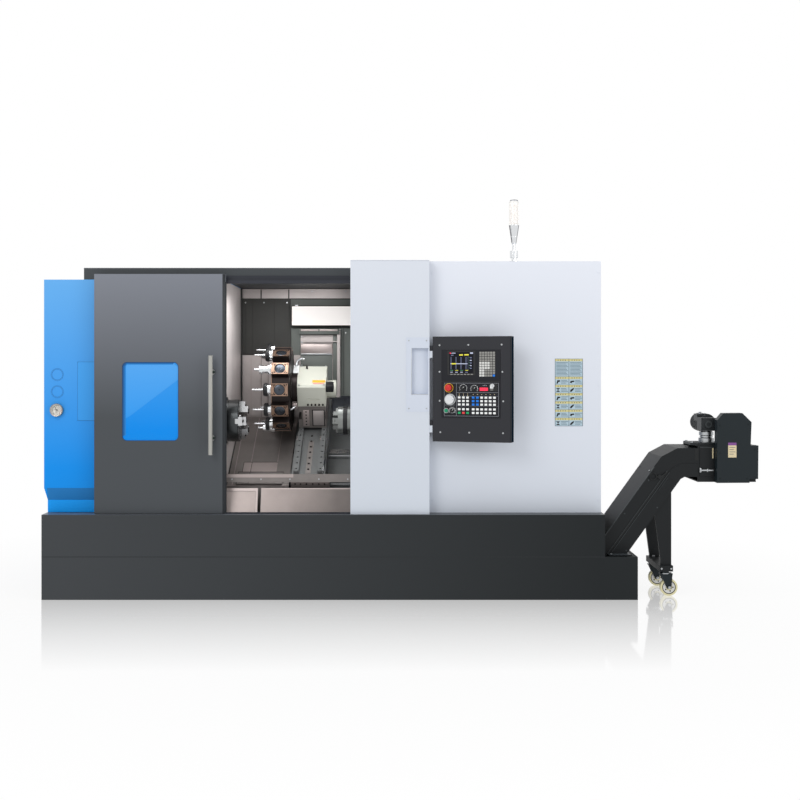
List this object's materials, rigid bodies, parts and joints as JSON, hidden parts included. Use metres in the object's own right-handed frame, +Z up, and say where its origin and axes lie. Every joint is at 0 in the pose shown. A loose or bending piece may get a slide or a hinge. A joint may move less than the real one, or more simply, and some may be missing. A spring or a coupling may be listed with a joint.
{
  "type": "cnc turning lathe",
  "caption": "Slant-bed turning lathe with power chuck, indexing turret, second spindle, sliding door, swing-out control pendant and chip conveyor.",
  "frame": {"origin": "on the floor under the main spindle's axis, at the middle of the coolant tank's length", "axes": "+X to the conveyor's end, +Y to the back, +Z up"},
  "size_m": [4.16, 1.8062, 2.3246],
  "materials": {
    "dark_enamel": "dark grey enamel, satin",
    "cast_iron": "machined and painted cast iron",
    "blue_enamel": "blue enamel, satin",
    "door_enamel": "grey enamel, satin",
    "white_enamel": "white enamel, satin",
    "steel_sheet": "stainless sheet, brushed",
    "steel_dark": "oiled steel sheet",
    "steel_bright": "ground steel",
    "cream_enamel": "cream enamel",
    "turret_steel": "hardened steel",
    "lamp_diffuser": "opal diffuser",
    "window_glass": "clear safety glass",
    "lens_plastic": "clear moulded lens",
    "black_plastic": "moulded black plastic",
    "red_plastic": "moulded red plastic",
    "green_plastic": "moulded green plastic",
    "caster_tread": "moulded cream polyurethane",
    "zinc": "zinc plated steel"
  },
  "bodies": {
    "machine": {"coolant_tank": "dark_enamel", "base_skirt": "dark_enamel", "bed_casting": "cast_iron", "levelling_feet": "zinc", "headstock_cover": "blue_enamel", "service_panel": "blue_enamel", "gauge_case": "steel_bright", "roof_header": "dark_enamel", "door_rails": "dark_enamel", "front_cover": "white_enamel", "grip_pocket": "white_enamel", "right_cover": "white_enamel", "rear_cover": "white_enamel", "left_inner_wall": "steel_sheet", "back_wall": "steel_sheet", "work_light": "lamp_diffuser", "chip_trays": "steel_dark", "headstock_casting": "cast_iron", "spindle_motor": "cast_iron", "electrical_cabinet": "white_enamel", "bed_rails": "steel_bright", "way_cover_fixed": "steel_sheet", "signal_base": "zinc", "signal_lens": "lens_plastic", "conveyor_housing": "dark_enamel", "drive_guard": "dark_enamel", "gearmotor": "dark_enamel", "conveyor_leg": "dark_enamel"},
    "main_spindle": {"spindle": "steel_bright", "chuck_body": "steel_bright"},
    "jaw_1": {"chuck_jaw_1": "steel_bright"},
    "jaw_2": {"chuck_jaw_2": "steel_bright"},
    "jaw_3": {"chuck_jaw_3": "steel_bright"},
    "saddle": {"saddle": "steel_dark", "way_cover_saddle": "steel_sheet"},
    "middle_cover": {"way_cover_middle": "steel_sheet"},
    "cross_slide": {"cross_slide": "steel_dark", "turret_housing": "cream_enamel"},
    "turret": {"turret_disc": "turret_steel", "tool_holders": "steel_bright"},
    "second_spindle": {"sub_spindle": "cast_iron"},
    "second_chuck": {"sub_chuck": "steel_bright"},
    "door": {"door_panel": "door_enamel", "door_glass": "window_glass", "door_handle": "steel_bright", "door_rollers": "zinc"},
    "pendant": {"pendant_box": "black_plastic", "pendant_panel": "black_plastic"},
    "stop_button": {"emergency_stop": "red_plastic"},
    "handwheel": {"handwheel": "steel_bright"},
    "feed_knob": {"feed_knob": "black_plastic"},
    "speed_knob": {"speed_knob": "black_plastic"},
    "start_button": {"start_button": "green_plastic"},
    "selector": {"selector_switch": "black_plastic"},
    "key": {"key_switch": "steel_bright"},
    "needle": {"gauge_needle": "black_plastic"},
    "caster_front": {"caster_fork_front": "dark_enamel"},
    "caster_rear": {"caster_fork_rear": "dark_enamel"},
    "wheel_front": {"caster_wheel_front": "caster_tread"},
    "wheel_rear": {"caster_wheel_rear": "caster_tread"}
  },
  "joints": [
    {"name": "spindle_spin", "type": "hinge", "parent": "machine", "child": "main_spindle", "pos_m": [-0.6, 0, 1.02], "axis": [1, 0, 0], "continuous": true},
    {"name": "jaw_1_slide", "type": "slide", "parent": "main_spindle", "child": "jaw_1", "axis": [0, -1, 0], "range_m": [-0.004, 0.004]},
    {"name": "jaw_2_slide", "type": "slide", "parent": "main_spindle", "child": "jaw_2", "axis": [0, 0.5, -0.866], "range_m": [-0.004, 0.004]},
    {"name": "jaw_3_slide", "type": "slide", "parent": "main_spindle", "child": "jaw_3", "axis": [0, 0.5, 0.866], "range_m": [-0.004, 0.004]},
    {"name": "saddle_slide", "type": "slide", "parent": "machine", "child": "saddle", "axis": [1, 0, 0], "range_m": [-0.012, 0.35]},
    {"name": "middle_cover_slide", "type": "slide", "parent": "machine", "child": "middle_cover", "axis": [1, 0, 0], "range_m": [-0.006, 0.175]},
    {"name": "cross_slide", "type": "slide", "parent": "saddle", "child": "cross_slide", "axis": [0, 0.866, 0.5], "range_m": [-0.12, 0.05]},
    {"name": "turret_index", "type": "hinge", "parent": "cross_slide", "child": "turret", "pos_m": [-0.38, 0.31523, 1.202], "axis": [1, 0, 0], "continuous": true},
    {"name": "second_spindle_slide", "type": "slide", "parent": "machine", "child": "second_spindle", "axis": [1, 0, 0], "range_m": [-0.12, 0.45]},
    {"name": "second_chuck_spin", "type": "hinge", "parent": "second_spindle", "child": "second_chuck", "pos_m": [0, 0, 1.02], "axis": [1, 0, 0], "continuous": true},
    {"name": "door_slide", "type": "slide", "parent": "machine", "child": "door", "axis": [1, 0, 0], "range_m": [0, 0.72]},
    {"name": "pendant_swing", "type": "hinge", "parent": "machine", "child": "pendant", "pos_m": [0.527, -0.231, 1.2], "axis": [0, 0, -1], "range_deg": [-17, 60]},
    {"name": "stop_press", "type": "slide", "parent": "pendant", "child": "stop_button", "axis": [0.2924, 0.9563, 0], "range_m": [0, 0.004], "stiffness_N_per_m": 900},
    {"name": "start_press", "type": "slide", "parent": "pendant", "child": "start_button", "axis": [0.2924, 0.9563, 0], "range_m": [0, 0.003], "stiffness_N_per_m": 500},
    {"name": "handwheel_spin", "type": "hinge", "parent": "pendant", "child": "handwheel", "pos_m": [0.63448, -0.26595, 1.153], "axis": [-0.2924, -0.9563, 0], "continuous": true},
    {"name": "feed_turn", "type": "hinge", "parent": "pendant", "child": "feed_knob", "pos_m": [0.70907, -0.28876, 1.218], "axis": [-0.2924, -0.9563, 0], "range_deg": [-135, 135]},
    {"name": "speed_turn", "type": "hinge", "parent": "pendant", "child": "speed_knob", "pos_m": [0.77123, -0.30776, 1.215], "axis": [-0.2924, -0.9563, 0], "range_deg": [-120, 120]},
    {"name": "selector_turn", "type": "hinge", "parent": "pendant", "child": "selector", "pos_m": [0.64691, -0.26975, 1.089], "axis": [-0.2924, -0.9563, 0], "range_deg": [0, 90]},
    {"name": "key_turn", "type": "hinge", "parent": "pendant", "child": "key", "pos_m": [0.87355, -0.33904, 1.233], "axis": [-0.2924, -0.9563, 0], "range_deg": [0, 90]},
    {"name": "needle_turn", "type": "hinge", "parent": "machine", "child": "needle", "pos_m": [-1.655, -0.16, 1.088], "axis": [0, -1, 0], "range_deg": [-200, 40]},
    {"name": "front_caster_swivel", "type": "hinge", "parent": "machine", "child": "caster_front", "pos_m": [1.899, -0.12, 0.13], "axis": [0, 0, 1], "continuous": true},
    {"name": "rear_caster_swivel", "type": "hinge", "parent": "machine", "child": "caster_rear", "pos_m": [1.899, 0.206, 0.13], "axis": [0, 0, 1], "continuous": true},
    {"name": "front_wheel_spin", "type": "hinge", "parent": "caster_front", "child": "wheel_front", "pos_m": [1.921, -0.12, 0.0505], "axis": [0, 1, 0], "continuous": true},
    {"name": "rear_wheel_spin", "type": "hinge", "parent": "caster_rear", "child": "wheel_rear", "pos_m": [1.921, 0.206, 0.0505], "axis": [0, 1, 0], "continuous": true}
  ],
  "couplings": [
    {"joint": "jaw_2_slide", "follows": "jaw_1_slide", "ratio": 1},
    {"joint": "jaw_3_slide", "follows": "jaw_1_slide", "ratio": 1},
    {"joint": "middle_cover_slide", "follows": "saddle_slide", "ratio": 0.5}
  ]
}
